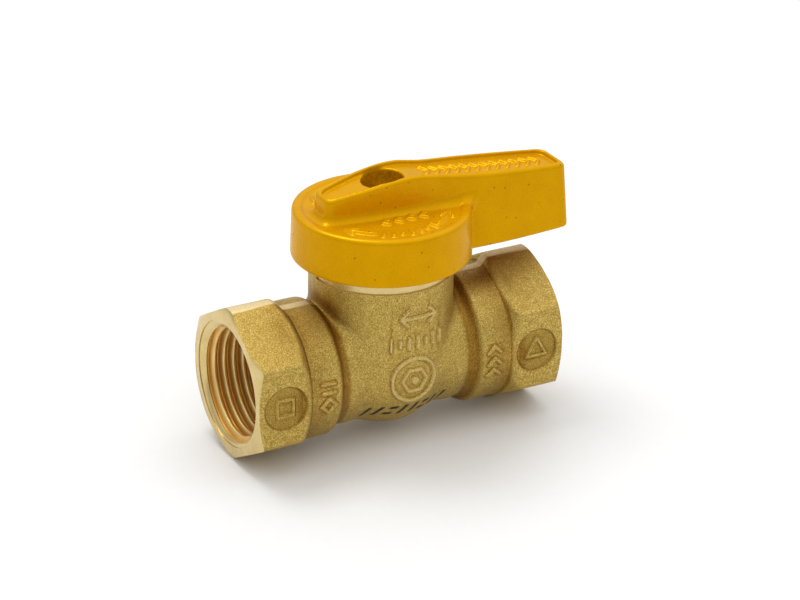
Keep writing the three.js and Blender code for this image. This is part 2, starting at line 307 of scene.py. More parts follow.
def stroke(u, v, start, end):
    """Distance in a plane from the points (u, v) to a straight stroke."""
    run_u, run_v = end[0] - start[0], end[1] - start[1]
    along = ((u - start[0]) * run_u + (v - start[1]) * run_v) / (run_u ** 2 + run_v ** 2)
    along = np.clip(along, 0, 1)
    return np.hypot(u - start[0] - along * run_u, v - start[1] - along * run_v)


def outline(u, v, corners, closed=False):
    """Distance to a line through corners."""
    ends = corners[1:] + corners[:1] if closed else corners[1:]
    return np.minimum.reduce([stroke(u, v, a, b) for a, b in zip(corners, ends)])


def polygon(count, radius, turn=0.0):
    """Corners of a regular polygon."""
    angles = [turn + 2 * math.pi * i / count for i in range(count)]
    return [(radius * math.cos(angle), radius * math.sin(angle)) for angle in angles]


def double_arrow(u, v, half, head):
    """Distance to an arrow with a head at both ends."""
    u = np.abs(u)
    shaft = stroke(u, v, (0, 0), (half, 0))
    return np.minimum(shaft, outline(u, v, [(half - head, head), (half, 0), (half - head, -head)]))


def raised(distance, height, flank):
    """Height of a shape with sloping flanks, from the distance outside it."""
    return height * step_between(-distance, -flank, flank)


# --- Meshes ---

def new_object(name, points, faces, material):
    """A mesh object from points in millimetres."""
    mesh = bpy.data.meshes.new(name)
    faces = faces.tolist() if isinstance(faces, np.ndarray) else faces
    mesh.from_pydata((np.asarray(points) * MM).tolist(), [], faces)
    mesh.materials.append(material)
    obj = bpy.data.objects.new(name, mesh)
    bpy.context.scene.collection.objects.link(obj)
    return obj


def on_axis(axis, along, radius, angle):
    """Points around an axis. Angles turn from +Y towards +Z about X, and from +X towards +Y about Z."""
    across = (radius * np.cos(angle), radius * np.sin(angle))
    parts = (along, *across) if axis == "x" else (*across, along)
    return np.stack(np.broadcast_arrays(*parts), -1).reshape(-1, 3)


def band_faces(low, high, segments):
    """Faces between two rows of points. A row may repeat one point, on the axis."""
    faces = []
    for i in range(segments):
        j = (i + 1) % len(low)
        ring = list(dict.fromkeys([low[i], low[j], high[j], high[i]]))
        if len(ring) > 2:
            faces.append(ring)
    return faces


def lathe(name, profile, axis, material, segments=96, start=0, sweep=360):
    """Closed solid of revolution, or a sector of one. The profile lists [radius, along], anticlockwise."""
    whole = sweep == 360
    turns = segments if whole else segments + 1
    angles = np.radians(start + sweep * np.arange(turns) / segments)
    points, rows = [], []
    for radius, along in profile:
        single = radius == 0
        rows.append([len(points)] * turns if single else list(range(len(points), len(points) + turns)))
        points.extend(on_axis(axis, along, radius, angles[:1] if single else angles).tolist())
    faces = []
    for low, high in zip(rows, rows[1:] + rows[:1]):
        faces += band_faces(low, high, segments)
    if not whole:
        faces.append([row[0] for row in rows])
        faces.append([row[-1] for row in reversed(rows)])
    return new_object(name, points, faces, material)


def rounded(corners, radius=0.2, steps=3):
    """A closed profile with its corners rounded, apart from those on the axis.
    A corner's third value is its own radius."""
    profile = []
    for before, corner, after in zip(corners[-1:] + corners[:-1], corners, corners[1:] + corners[:1]):
        place = np.array(corner[:2], float)
        reach = corner[2] if len(corner) > 2 else radius
        if corner[0] == 0 or reach == 0:
            profile.append(place.tolist())
            continue
        towards = [np.array(other[:2], float) - place for other in (before, after)]
        lengths = [np.linalg.norm(side) for side in towards]
        start, end = (place + side / length * min(reach, 0.45 * length)
                      for side, length in zip(towards, lengths))
        for i in range(steps + 1):
            t = i / steps
            profile.append(((1 - t) ** 2 * start + 2 * t * (1 - t) * place + t * t * end).tolist())
    return profile


def threaded_rod(name, axis, span, radii, pitch, height, run_out, material,
                 segments=48, per_pitch=12, phase=0):
    """A closed rod with a right-hand thread, whose middle radius goes from one of radii to the other."""
    rows = round((span[1] - span[0]) / pitch * per_pitch) + 1
    along = np.linspace(*span, rows)[:, None]
    turn = np.arange(segments)[None, :] / segments
    wave = np.abs(((along / pitch - turn + phase) % 1) * 2 - 1) * 2 - 1
    fade = step_between(np.minimum(along - span[0], span[1] - along), 0, run_out)
    radius = np.interp(along, span, radii) + np.clip(wave * 1.15, -0.85, 0.9) * height / 2 * fade
    points = on_axis(axis, along, radius, 2 * math.pi * turn)
    numbers = np.arange(rows * segments).reshape(rows, segments).tolist()
    faces = []
    for low, high in zip(numbers, numbers[1:]):
        faces += band_faces(low, high, segments)
    return new_object(name, points, faces + [numbers[0][::-1], numbers[-1]], material)


def block(name, low, high, material):
    """A box-shaped cutter."""
    points = [[(low, high)[i][0], (low, high)[j][1], (low, high)[k][2]]
              for i in (0, 1) for j in (0, 1) for k in (0, 1)]
    faces = [[0, 1, 3, 2], [4, 6, 7, 5], [0, 4, 5, 1], [2, 3, 7, 6], [0, 2, 6, 4], [1, 5, 7, 3]]
    return new_object(name, points, faces, material)


def apply_modifiers(obj):
    bpy.context.view_layer.update()
    depsgraph = bpy.context.evaluated_depsgraph_get()
    mesh = bpy.data.meshes.new_from_object(obj.evaluated_get(depsgraph))
    obj.modifiers.clear()
    old = obj.data
    obj.data = mesh
    bpy.data.meshes.remove(old)


def boolean(target, tool, operation="DIFFERENCE"):
    """Applies a boolean to the target and deletes the tool. New faces keep the tool's material."""
    modifier = target.modifiers.new("cut", "BOOLEAN")
    modifier.operation = operation
    modifier.object = tool
    modifier.solver = "MANIFOLD"
    modifier.material_mode = "TRANSFER"
    apply_modifiers(target)
    bpy.data.objects.remove(tool, do_unlink=True)


def weld(obj):
    """Joins the points that a boolean left almost on top of each other, and splits its large faces."""
    shape = bmesh.new()
    shape.from_mesh(obj.data)
    bmesh.ops.remove_doubles(shape, verts=shape.verts, dist=WELD_GAP)
    bmesh.ops.dissolve_degenerate(shape, edges=shape.edges, dist=WELD_GAP)
    large = [face for face in shape.faces if len(face.verts) > 4]
    bmesh.ops.triangulate(shape, faces=large, quad_method="BEAUTY", ngon_method="BEAUTY")
    bmesh.ops.dissolve_degenerate(shape, edges=shape.edges, dist=WELD_GAP)
    shape.to_mesh(obj.data)
    shape.free()


def thin_out(obj, triangles, kept_points):
    """Joins the triangles that matter least until about so many are left, away from the points to keep."""
    group = obj.vertex_groups.new(name="kept")
    group.add(kept_points.tolist(), 1.0, "REPLACE")
    obj.data.calc_loop_triangles()
    modifier = obj.modifiers.new("thin", "DECIMATE")
    modifier.ratio = min(1.0, triangles / len(obj.data.loop_triangles))
    modifier.vertex_group = group.name
    modifier.invert_vertex_group = True
    modifier.vertex_group_factor = 100
    apply_modifiers(obj)
    obj.vertex_groups.clear()


def shade(obj, angle):
    """Smooth shading, with edges sharper than the angle kept crisp."""
    obj.data.polygons.foreach_set("use_smooth", [True] * len(obj.data.polygons))
    obj.data.set_sharp_from_angle(angle=math.radians(angle))


def values_of(items, name, kind=np.int32, width=1):
    """One property of all of a mesh's points, edges, corners or faces, as an array."""
    values = np.empty(len(items) * width, kind)
    items.foreach_get(name, values)
    return values.reshape(-1, width) if width > 1 else values


def corner_slots(mesh):
    """The material slot of the face that each corner belongs to."""
    return np.repeat(values_of(mesh.polygons, "material_index"), values_of(mesh.polygons, "loop_total"))


def soften(obj, slot, angle):
    """Keeps an edge between two faces with the material in the slot crisp only when it is sharper than
    the angle."""
    mesh = obj.data
    crisp = values_of(mesh.edges, "use_edge_sharp", bool)
    mesh.set_sharp_from_angle(angle=math.radians(angle))
    sharper = values_of(mesh.edges, "use_edge_sharp", bool)
    bordered = np.zeros(len(mesh.edges), bool)
    bordered[values_of(mesh.loops, "edge_index")[corner_slots(mesh) != slot]] = True
    mesh.edges.foreach_set("use_edge_sharp", crisp & (bordered | sharper))


def points_mm(obj):
    return values_of(obj.data.vertices, "co", np.float32, 3).astype(float) / MM


def even_normals(obj, field, grid):
    """Takes the unmarked forging's normals from its field, so that its flats and rounds shade evenly."""
    mesh = obj.data
    points = points_mm(obj)
    exact = unit(slope(field, grid, points))
    plain = np.abs(sample(field, grid, points)) < 0.02
    normals = values_of(mesh.corner_normals, "vector", np.float32, 3)
    point = values_of(mesh.loops, "vertex_index")
    chosen = plain[point] & (corner_slots(mesh) == 0)
    normals[chosen] = exact[point[chosen]]
    mesh.normals_split_custom_set(normals.tolist())


def store_painted_shading(obj, field, crease, grid):
    """Stores on each point, in millimetres, how far it lies in a hollow, or below zero on an edge, for
    painted shade and painted highlight, and from 0 to 1 how far it lies on the floor of a stamp, for painted
    shade there."""
    points = points_mm(obj)
    normals = unit(slope(field, grid, points))
    here = sample(field, grid, points)
    near, wide = (2 * here - sample(field, grid, points + normals * reach)
                  - sample(field, grid, points - normals * reach) for reach in (HOLLOW_REACH, WIDE_REACH))
    _, foot, sunk = body_marks(points)
    # Painted shade in hollows, and painted highlight on edges where the value falls below zero.
    painted_shading = np.maximum(near, EDGE_LIMIT) + WIDE_HOLLOWS * np.maximum(wide, 0)
    # Painted shade in creases and at the feet of marks, less a painted highlight on the tops of marks.
    shades = CREASE_SHADE * sample(crease, grid, points) + FOOT_SHADE * foot
    shades -= MARK_SHADE * np.maximum(here, 0)
    for name, values in (("painted_shading", painted_shading + shades), ("stamp_shade", sunk * step_between(-here, 0.1, 0.3))):
        attribute = obj.data.attributes.new(name, "FLOAT", "POINT")
        attribute.data.foreach_set("value", values.astype(np.float32))


# --- Materials ---

# Most of a noise's values lie between these two.
NOISE_LOW, NOISE_HIGH = 0.3, 0.7


class Finish:
    """A node material: a principled shader, fed by object coordinates in metres."""

    def __init__(self, name, metallic=0.0, roughness=0.5):
        self.material = bpy.data.materials.new(name)
        self.material.use_nodes = True
        self.tree = self.material.node_tree
        self.tree.nodes.clear()
        output = self.node("OutputMaterial")
        self.shader = self.node("BsdfPrincipled")
        self.tree.links.new(self.shader.outputs[0], output.inputs[0])
        self.shader.inputs["Metallic"].default_value = metallic
        self.shader.inputs["Roughness"].default_value = roughness
        self.place = self.node("TexCoord").outputs["Object"]

    def node(self, kind):
        return self.tree.nodes.new("ShaderNode" + kind)

    def put(self, name, value):
        """Sets one of the shader's inputs to a value, or links it."""
        self.link(value, self.shader.inputs[name])

    def link(self, value, socket):
        if isinstance(value, bpy.types.NodeSocket):
            self.tree.links.new(value, socket)
        elif socket.type == "RGBA":
            socket.default_value = (*value, 1)
        else:
            socket.default_value = value

    def noise(self, scale_mm, detail=2.0, roughness=0.5):
        """Noise whose features are about scale_mm wide."""
        node = self.node("TexNoise")
        node.inputs["Scale"].default_value = 1 / (scale_mm * MM)
        node.inputs["Detail"].default_value = detail
        node.inputs["Roughness"].default_value = roughness
        self.link(self.place, node.inputs["Vector"])
        return node.outputs["Fac"]

    def ramp(self, value, stops):
        """Colour ramp with stops of (place, colour or grey level)."""
        node = self.node("ValToRGB")
        elements = node.color_ramp.elements
        while len(elements) < len(stops):
            elements.new(0.5)
        for element, (position, colour) in zip(elements, stops):
            element.position = position
            element.color = (*colour, 1) if isinstance(colour, tuple) else (colour, colour, colour, 1)
        self.link(value, node.inputs[0])
        return node.outputs["Color"]

    def spread(self, noise, low, high):
        """Colours or grey levels for the low and the high values of a noise, and those between."""
        return self.ramp(noise, [(NOISE_LOW, low), (NOISE_HIGH, high)])

    def maths(self, kind, *values):
        node = self.node("Math")
        node.operation = kind
        for value, socket in zip(values, node.inputs):
            self.link(value, socket)
        return node.outputs[0]

    def times(self, first, *others):
        for other in others:
            first = self.maths("MULTIPLY", first, other)
        return first

    def distance(self, a, b):
        """Distance from an axis, from the two coordinates across it."""
        squares = [self.maths("POWER", value, 2.0) for value in (a, b)]
        return self.maths("SQRT", self.maths("ADD", *squares))

    def between(self, value, low, high, to_low=0.0, to_high=1.0):
        """Maps a value from one range to another, held at the ends."""
        node = self.node("MapRange")
        node.interpolation_type = "SMOOTHSTEP"
        for item, socket in zip((value, low, high, to_low, to_high), node.inputs):
            self.link(item, socket)
        return node.outputs[0]

    def below(self, value, low, high):
        """1 where the value is under low, and 0 where it is over high."""
        return self.between(value, low, high, 1.0, 0.0)

    def band(self, value, low, high, centre=0.0):
        """1 closer to the centre than low, and 0 further from it than high."""
        return self.below(self.maths("ABSOLUTE", self.maths("SUBTRACT", value, centre)), low, high)

    def mix(self, factor, a, b, kind="MIX"):
        node = self.node("Mix")
        node.data_type = "RGBA"
        node.blend_type = kind
        for value, name in ((factor, "Factor"), (a, "A"), (b, "B")):
            self.link(value, [socket for socket in node.inputs if socket.name == name and socket.enabled][0])
        return [socket for socket in node.outputs if socket.enabled][0]

    def tint(self, factor, colour, tint):
        """The colour, multiplied by the tint as far as the factor goes."""
        return self.mix(factor, colour, self.mix(1.0, colour, tint, "MULTIPLY"))

    def attribute(self, name):
        """A number stored on the mesh's points."""
        node = self.node("Attribute")
        node.attribute_name = name
        return node.outputs["Fac"]

    def axes_mm(self):
        """The object's x, y and z in millimetres."""
        node = self.node("SeparateXYZ")
        self.link(self.place, node.inputs[0])
        return [self.maths("MULTIPLY", output, 1 / MM) for output in node.outputs]

    def done(self, colour, roughness, height, depth_mm):
        """The material, with its colour, its roughness and a bump of so many millimetres."""
        self.put("Base Color", colour)
        self.put("Roughness", roughness)
        node = self.node("Bump")
        node.inputs["Distance"].default_value = depth_mm * MM
        self.link(height, node.inputs["Height"])
        self.put("Normal", node.outputs["Normal"])
        return self.material


def ink_mask(finish, x, y, z):
    """A row of short slanted ink strokes along the lower front of the belly: 1 on ink."""
    height = finish.maths("ADD", z, INK_DROP)
    slanted = finish.maths("SUBTRACT", x, finish.times(height, INK_LEAN))
    place = finish.maths("ADD", slanted, 50 * INK_PITCH)
    cell = finish.maths("FLOOR", finish.maths("DIVIDE", place, INK_PITCH))
    inside = finish.maths("SUBTRACT", place, finish.times(cell, INK_PITCH))
    # Two upright bars follow one another, then a pair of short flat dashes.
    upright = finish.maths("GREATER_THAN", finish.maths("MODULO", cell, 3.0), 0.5)
    bars = finish.times(finish.band(inside, 0.34, 0.46, INK_MIDDLE), upright)
    dash = finish.band(finish.maths("ABSOLUTE", height), 0.27, 0.38, 0.7)
    dash = finish.times(dash, finish.band(inside, 0.7, 0.8, INK_MIDDLE))
    dashes = finish.times(dash, finish.maths("SUBTRACT", 1.0, upright))
    strokes = finish.maths("MAXIMUM", bars, dashes)
    row = finish.band(height, 1.0, 1.15)
    length = finish.band(slanted, 8.1, 8.2)
    front = finish.maths("LESS_THAN", y, 0.0)
    return finish.times(strokes, row, length, front)


def forged_brass():
    """Sand-blasted forging: sparkling grain, painted shade in hollows, painted highlight on edges, and a
    paler strip at its parting line.
    """
    finish = Finish("forged_brass", metallic=1.0)
    x, y, z = finish.axes_mm()
    grain = finish.noise(0.18, 2.0, 0.6)
    blotches = finish.noise(1.3, 3.0, 0.6)
    colour = finish.ramp(grain, [
        (0.33, (0.34, 0.230, 0.046)), (0.5, (0.52, 0.362, 0.086)), (0.67, (0.80, 0.605, 0.200)),
    ])
    colour = finish.mix(1.0, colour, finish.spread(blotches, (0.86, 0.83, 0.76), 1.0), "MULTIPLY")

    # Painted shade, with some dirt, in hollows, creases and at the feet of marks.
    painted_shading = finish.attribute("painted_shading")
    colour = finish.tint(finish.between(painted_shading, 0.04, 0.42), colour, (0.62, 0.48, 0.30))
    # Painted highlight on edges and on the tops of marks.
    edge_highlight = finish.between(painted_shading, -0.08, -0.38)
    colour = finish.mix(finish.times(edge_highlight, 0.4), colour, (0.82, 0.66, 0.32))
    # Painted shade on the sunk floors of the stamps.
    colour = finish.tint(finish.attribute("stamp_shade"), colour, (0.80, 0.75, 0.65))

    ragged = finish.maths("ADD", finish.maths("ABSOLUTE", y), finish.times(blotches, 0.5))
    along = finish.maths("ABSOLUTE", x)
    half = finish.between(along, HEX_INNER_X, END_X - 1, PARTING_STRIP - 0.4, PARTING_STRIP)
    strip = finish.below(finish.maths("SUBTRACT", ragged, half), 0.0, 0.35)
    strip = finish.times(strip, finish.between(along, COLUMN_RADIUS, COLUMN_RADIUS + 1.5))
    colour = finish.mix(finish.times(strip, 0.7), colour, (0.84, 0.70, 0.42))
    ink = ink_mask(finish, x, y, z)
    colour = finish.mix(finish.times(ink, 0.96), colour, (0.010, 0.008, 0.006))
    finish.put("Metallic", finish.maths("SUBTRACT", 1.0, ink))
    finish.put("Specular IOR Level", 0.15)
    return finish.done(colour, finish.spread(grain, 0.60, 0.40), grain, 0.06)


def turned_brass(name, pale, rough, thread=None):
    """Machined brass with fine turning lines. A thread about X gets painted shade at its root: thread gives
    the two radii between which the painted shade darkens it."""
    finish = Finish(name, metallic=0.85 if thread else 1.0)
    lines = finish.noise(0.16)
    stains = finish.noise(2.5)
    colour = finish.spread(lines, tuple(level * 0.88 for level in pale), pale)
    stains = finish.ramp(stains, [(NOISE_LOW, (0.92, 0.88, 0.82)), (0.65, 1.0)])
    colour = finish.mix(1.0, colour, stains, "MULTIPLY")
    if thread:
        _, y, z = finish.axes_mm()
        # Painted shade, darker towards the thread's root.
        colour = finish.tint(finish.between(finish.distance(y, z), *thread), colour, (0.90, 0.68, 0.34))
    return finish.done(colour, finish.spread(lines, rough * 1.2, rough * 0.8), lines, 0.008)


def yellow_paint():
    """Glossy yellow paint over a casting, with a few dark pinholes, and painted shade in the screw's access
    hole.
    """
    finish = Finish("yellow_paint", metallic=0.3)
    waves = finish.noise(3.5)
    peel = finish.noise(0.9, 1.0)
    colour = finish.spread(waves, (0.625, 0.303, 0.0003), (0.665, 0.330, 0.0004))
    spots = finish.node("TexVoronoi")
    spots.inputs["Scale"].default_value = 1 / (1.7 * MM)
    finish.link(finish.place, spots.inputs["Vector"])
    chance = finish.node("SeparateXYZ")
    finish.link(spots.outputs["Color"], chance.inputs[0])
    hole = finish.below(spots.outputs["Distance"], 0.06, 0.11)
    hole = finish.times(hole, finish.maths("LESS_THAN", chance.outputs[0], 0.7))
    colour = finish.mix(finish.times(hole, 0.7), colour, (0.12, 0.05, 0.002))

    # Painted shade on the wall of the screw's access hole, darker below its rim, with specks.
    x, y, z = finish.axes_mm()
    inside = finish.below(finish.distance(x, y), ACCESS_RADIUS + 0.15, ACCESS_RADIUS + 0.3)
    low = finish.below(finish.maths("SUBTRACT", z, finish.times(x, 0.1)), 31.7, 32.1)
    hole_shade = finish.ramp(finish.noise(0.5, 2.0, 0.6), [(0.35, (0.66, 0.56, 0.48)), (0.6, (0.95, 0.88, 0.8))])
    colour = finish.tint(finish.times(inside, low), colour, hole_shade)
    finish.put("Specular IOR Level", 0.07)
    finish.put("Specular Tint", (1.0, 0.85, 0.3))
    height = finish.maths("SUBTRACT", finish.times(peel, 0.4), hole)
    return finish.done(colour, finish.spread(peel, 0.29, 0.21), height, 0.03)


def grained(name, colour, roughness, metallic, grain_mm, depth_mm):
    """A material with a slight grain in its colour, gloss and surface."""
    finish = Finish(name, metallic)
    grain = finish.noise(grain_mm, 3.0, 0.6)
    colour = finish.spread(grain, tuple(level * 0.85 for level in colour), colour)
    return finish.done(colour, finish.spread(grain, roughness * 1.15, roughness * 0.85), grain, depth_mm)


FORGED = forged_brass()
TURNED = turned_brass("turned_brass", (0.74, 0.58, 0.26), 0.3)
THREADED = turned_brass("threaded_brass", (0.88, 0.66, 0.27), 0.42,
                        (THREAD_MIDDLE - 0.6, THREAD_MIDDLE + 0.1))
PAINT = yellow_paint()
CHROME = grained("chrome_plate", (0.80, 0.81, 0.83), 0.07, 1.0, 1.5, 0.002)
PTFE = grained("seal_plastic", (0.86, 0.86, 0.83), 0.45, 0.0, 0.6, 0.01)
RUBBER = grained("seal_rubber", (0.025, 0.025, 0.025), 0.6, 0.0, 0.3, 0.01)
ZINC = grained("zinc_steel", (0.60, 0.61, 0.64), 0.30, 1.0, 0.3, 0.006)


# --- Body ---

def forged_blank():
    """The body as it leaves the die, without its marks: a field, its grid, and from 0 to 1 how near each
    grid point is to the crease between a waist and its collar."""
    grid = Grid((-END_X - 0.6, -14.1, -15.3), (END_X + 0.6, 14.1, LUG_TOP + 0.4), GRID_STEP)
    x, y, z = grid.x, grid.y, grid.z
    ax, ay, az = np.abs(x), np.abs(y), np.abs(z)
    rho = np.sqrt(y ** 2 + z ** 2)
    across = np.sqrt(x ** 2 + y ** 2)

    hexagon = smooth_meet(ay, 0.5 * ay + math.sin(math.pi / 3) * az, 0.5) - HEX_HALF
    hexagon = smooth_meet(hexagon, az - PARTING_Z, 0.35)
    shoulder = (rho - COLLAR_RADIUS + 0.15 - (ax - HEX_INNER_X) * SHOULDER_SLOPE) / SHOULDER_LENGTH
    hexagon = smooth_meet(hexagon, shoulder, 0.6)
    hexagon = smooth_meet(hexagon, HEX_INNER_X - 0.8 - ax, 0.3)

    side = COLLAR_INNER_X - ax + 0.3 * (rho - COLLAR_RADIUS + 1.2)
    collar = smooth_meet(rho - COLLAR_RADIUS, side, 0.8)
    collar = np.maximum(collar, ax - HEX_INNER_X - 1.5)
    waist = rho - WAIST_RADIUS + 0.15 - SWELL * np.exp(-((ax - SWELL_X) / SWELL_WIDTH) ** 2)
    # How near the crease between waist and collar is, for the painted shade in it.
    crease = np.clip(1.25 - np.abs(waist - collar) / WAIST_FILLET, 0, 1)
    pipe = smooth_union(waist, collar, WAIST_FILLET)
    crease = crease * np.clip(1.5 - np.abs(pipe), 0, 1)
    pipe = smooth_union(pipe, hexagon, HEX_FILLET)
    pipe = pipe + GROOVE_DEPTH * np.exp(-((ax - HEX_INNER_X - 0.15) / GROOVE_WIDTH) ** 2)

    column = np.where(z > 0, across, np.sqrt(across ** 2 + z ** 2)) - COLUMN_RADIUS
    column = np.maximum(column, z - NECK_TOP - 0.5)
    crease = crease * step_between(column, 0.1, 1.2)
    body = smooth_union(pipe, column, COLUMN_FILLET)

    boss = np.maximum(across - BOSS_RADIUS - 0.6, slab(z, NECK_TOP - 2, BOSS_TOP))
    lug = np.maximum(slab(across, LUG_INNER, LUG_OUTER), slab(z, NECK_TOP - 2, LUG_TOP))
    lug = smooth_meet(lug, np.maximum(x, -y), 0.5)
    body = np.minimum(body, np.minimum(boss, lug))
    body = np.maximum(body, ax - END_X - 0.4)
    return body.astype(np.float32), grid, crease


def column_marks(u, z):
    """Raised marks on the column: a double flow arrow, a row of bars, and a ring round a hexagon."""
    arrow = double_arrow(u - 0.6, z - ARROW_Z, 3.4, 1.3)
    bars = [stroke(u, z, (place, BARS_Z - half), (place, BARS_Z + half))
            for place, half in zip(np.arange(-4.4, 6, 1.6), (1.0, 0.5, 1.0, 1.0, 0.5, 1.0, 1.0))]
    low = z - RING_Z
    away = np.hypot(u, low)
    nut = outline(u, low, polygon(6, 2.3), closed=True)
    return np.minimum.reduce([arrow, *bars, nut, away - 0.45, np.abs(away - 4.1) - 0.06]) - COLUMN_STROKE


def collar_marks(x, z):
    """Raised marks on the collars: two bars and a diamond on the left one, chevrons on the right one."""
    left, right = x - LEFT_MARK_X, x - RIGHT_MARK_X
    diamond = outline(left, z + 1.7, polygon(4, 1.35), closed=True)
    bars = [stroke(left, z, (-1.1, high), (1.1, high)) for high in (0.7, 2.3)]
    chevrons = [outline(right, z, [(-1.2, low), (0, low + 1.1), (1.2, low)]) for low in (-3.4, -1.2, 1.0)]
    return np.minimum.reduce([diamond, *bars, *chevrons]) - COLLAR_STROKE


def stamp_marks(x, z):
    """The shapes inside the round stamps on the hexagon flats, and how far inside a stamp each point is."""
    low = z + 0.2
    shapes, inside = [], []
    for centre, corners in ((-24.5, polygon(4, 2.1, math.pi / 4)), (24.4, polygon(3, 2.3, math.pi / 2))):
        shapes.append(outline(x - centre, low, corners, closed=True) - STAMP_STROKE)
        inside.append(STAMP_RADIUS - np.hypot(x - centre, low))
    return np.minimum(*shapes), np.maximum(*inside)


def body_marks(points):
    """Height of the marks at points on the forging, and from 0 to 1 how far a point lies at the foot of one
    and inside a stamp. The back carries the front's marks, turned half a turn."""
    turned = np.where(points[:, 1] > 0, -1.0, 1.0)
    x, y, z = points[:, 0] * turned, points[:, 1] * turned, points[:, 2]
    across = np.hypot(x, y)
    on_column = (across > COLUMN_RADIUS - 3) & (np.abs(x) < 8.5) & (y < -7)
    on_column &= (z < NECK_BOTTOM - 0.8) & (z > -6)
    on_collar = (np.abs(np.abs(x) + LEFT_MARK_X) < 2.6) & (y < -10.5)
    on_flat = (np.abs(x) > 20) & (np.abs(x) < END_X - 0.2) & (y < -12.0)
    shapes, stamp = stamp_marks(x, z)
    away = np.full(len(x), 9.0)
    away = np.where(on_column, column_marks(COLUMN_RADIUS * np.arctan2(x, -y), z), away)
    away = np.where(on_collar, collar_marks(x, z), away)
    away = np.where(on_flat, shapes, away)
    sunk = np.where(on_flat, step_between(stamp, -0.12, 0.18), 0)
    height = raised(away, MARK_HEIGHT, MARK_FLANK) - STAMP_DEPTH * sunk
    foot = step_between(-np.abs(away - 0.2), -0.22, 0)
    foot = np.maximum(foot, np.where(on_flat, step_between(-np.abs(stamp - 0.1), -0.35, 0), 0))
    return height, foot, sunk


def neck_cutter():
    """Turns the neck, all round except where the stop lug stands."""
    profile = [[BOSS_RADIUS, NECK_TOP], [NECK_RADIUS, NECK_TOP], [NECK_RADIUS, NECK_BOTTOM],
               [14, NECK_BOTTOM], [14, LUG_TOP + 2], [BOSS_RADIUS, LUG_TOP + 2]]
    return lathe("neck_cutter", profile, "z", TURNED, 160, LUG_TO, 360 - LUG_TO + LUG_FROM)


def build_body():
    field, grid, crease = forged_blank()
    points, quads = surface_net(field, grid)
    height, foot, _ = body_marks(points)
    points = points + unit(slope(field, grid, points)) * height[:, None]
    body = new_object("valve_body_forging", points, quads, FORGED)
    thin_out(body, BODY_TRIANGLES, np.flatnonzero((foot > 0) | (height > 0.01)))
    for material in (TURNED, THREADED):
        body.data.materials.append(material)
    facing = [[0, END_X], [END_FACE_RADIUS, END_X], [CHAMFER_REACH, END_X - CHAMFER_FALL],
              [CHAMFER_REACH, END_X + 2], [0, END_X + 2]]
    lead_in = END_X - LEAD_IN - LEAD_IN_REST
    ledge = END_X - MOUTH_LEDGE
    mouth = [[0, lead_in], [MOUTH_RADIUS - LEAD_IN - LEAD_IN_REST, lead_in],
             [MOUTH_RADIUS - MOUTH_LEDGE, ledge], [MOUTH_RADIUS + 0.15, ledge],
             [MOUTH_RADIUS + 0.15, END_X + 1], [0, END_X + 1]]
    for side in (1, -1):
        for name, profile in (("facing", facing), ("mouth", mouth)):
            tool = lathe(name, profile, "x", TURNED, 160)
            if side < 0:
                tool.rotation_euler.z = math.pi
            boolean(body, tool)
        span = sorted((side * (END_X + 3), side * (END_X - PORT_DEPTH)))
        radii = [THREAD_MIDDLE + 3 * THREAD_TAPER, THREAD_MIDDLE - PORT_DEPTH * THREAD_TAPER][::-side]
        tap = threaded_rod("tap", "x", span, radii, THREAD_PITCH, THREAD_HEIGHT, 2.5, THREADED, 128, 11, 0.5)
        boolean(body, tap)
    port_end = END_X - PORT_DEPTH
    bore = [[0, -port_end - 1], [CHAMBER_RADIUS, -port_end - 1], [CHAMBER_RADIUS, SEAT_SHOULDER_X],
            [PASSAGE_RADIUS, SEAT_SHOULDER_X], [PASSAGE_RADIUS, port_end + 1], [0, port_end + 1]]
    boolean(body, lathe("bore", bore, "x", TURNED, 128))
    stem_way = [[0, 0], [STEM_POCKET_RADIUS, 0], [STEM_POCKET_RADIUS, STEM_POCKET_TOP],
                [STEM_BORE_RADIUS, STEM_POCKET_TOP], [STEM_BORE_RADIUS, BOSS_TOP + 1], [0, BOSS_TOP + 1]]
    boolean(body, lathe("stem_way", stem_way, "z", TURNED, 128))
    boolean(body, neck_cutter())
    clearance = [[BOSS_RADIUS, NECK_TOP], [LUG_INNER, NECK_TOP],
                 [LUG_INNER, LUG_TOP + 1], [BOSS_RADIUS, LUG_TOP + 1]]
    boolean(body, lathe("boss_turning", clearance, "z", TURNED, 128))
    weld(body)
    store_painted_shading(body, field, crease, grid)
    shade(body, 50)
    soften(body, body.data.materials.find(THREADED.name), 75)
    even_normals(body, field, grid)
    return body


# --- Handle ---

def through(points, x):
    """Smooth curve through points, evaluated at x."""
    px, py = (np.array(column, float) for column in zip(*points))
    gap = np.diff(px)
    rise = np.diff(py) / gap
    inner = (rise[:-1] * gap[1:] + rise[1:] * gap[:-1]) / (gap[:-1] + gap[1:])
    tangent = np.concatenate([rise[:1], inner, rise[-1:]])
    i = np.clip(np.searchsorted(px, x) - 1, 0, len(gap) - 1)
    t = (x - px[i]) / gap[i]
    ease = t * t * (3 - 2 * t)
    start = t * (1 - t) ** 2 * gap[i] * tangent[i]
    end = t * t * (1 - t) * gap[i] * tangent[i + 1]
    return py[i] + (py[i + 1] - py[i]) * ease + start - end


def lever_ridge(x):
    """Height of the lever's top line: a straight ramp up to the crest, and a slow fall to the tip."""
    crest_x, crest_z = LEVER_RIDGE[0]
    ramp_line = crest_z - (crest_x - x) * LEVER_RAMP
    return smooth_union(ramp_line, through(LEVER_RIDGE, np.maximum(x, crest_x)), LEVER_KNEE)


def lever_side(x, y, z):
    """Distance outside the lever's drafted sides and ends."""
    lean = LEVER_DRAFT * step_between(x, 0, 15) * (z - CUP_BOTTOM)
    half = through(LEVER_WIDTH, np.clip(x, LEVER_START, LEVER_TIP)) - lean
    return smooth_meet((np.abs(y) - half) * 0.985, slab(x, LEVER_START, LEVER_TIP), 1.6)


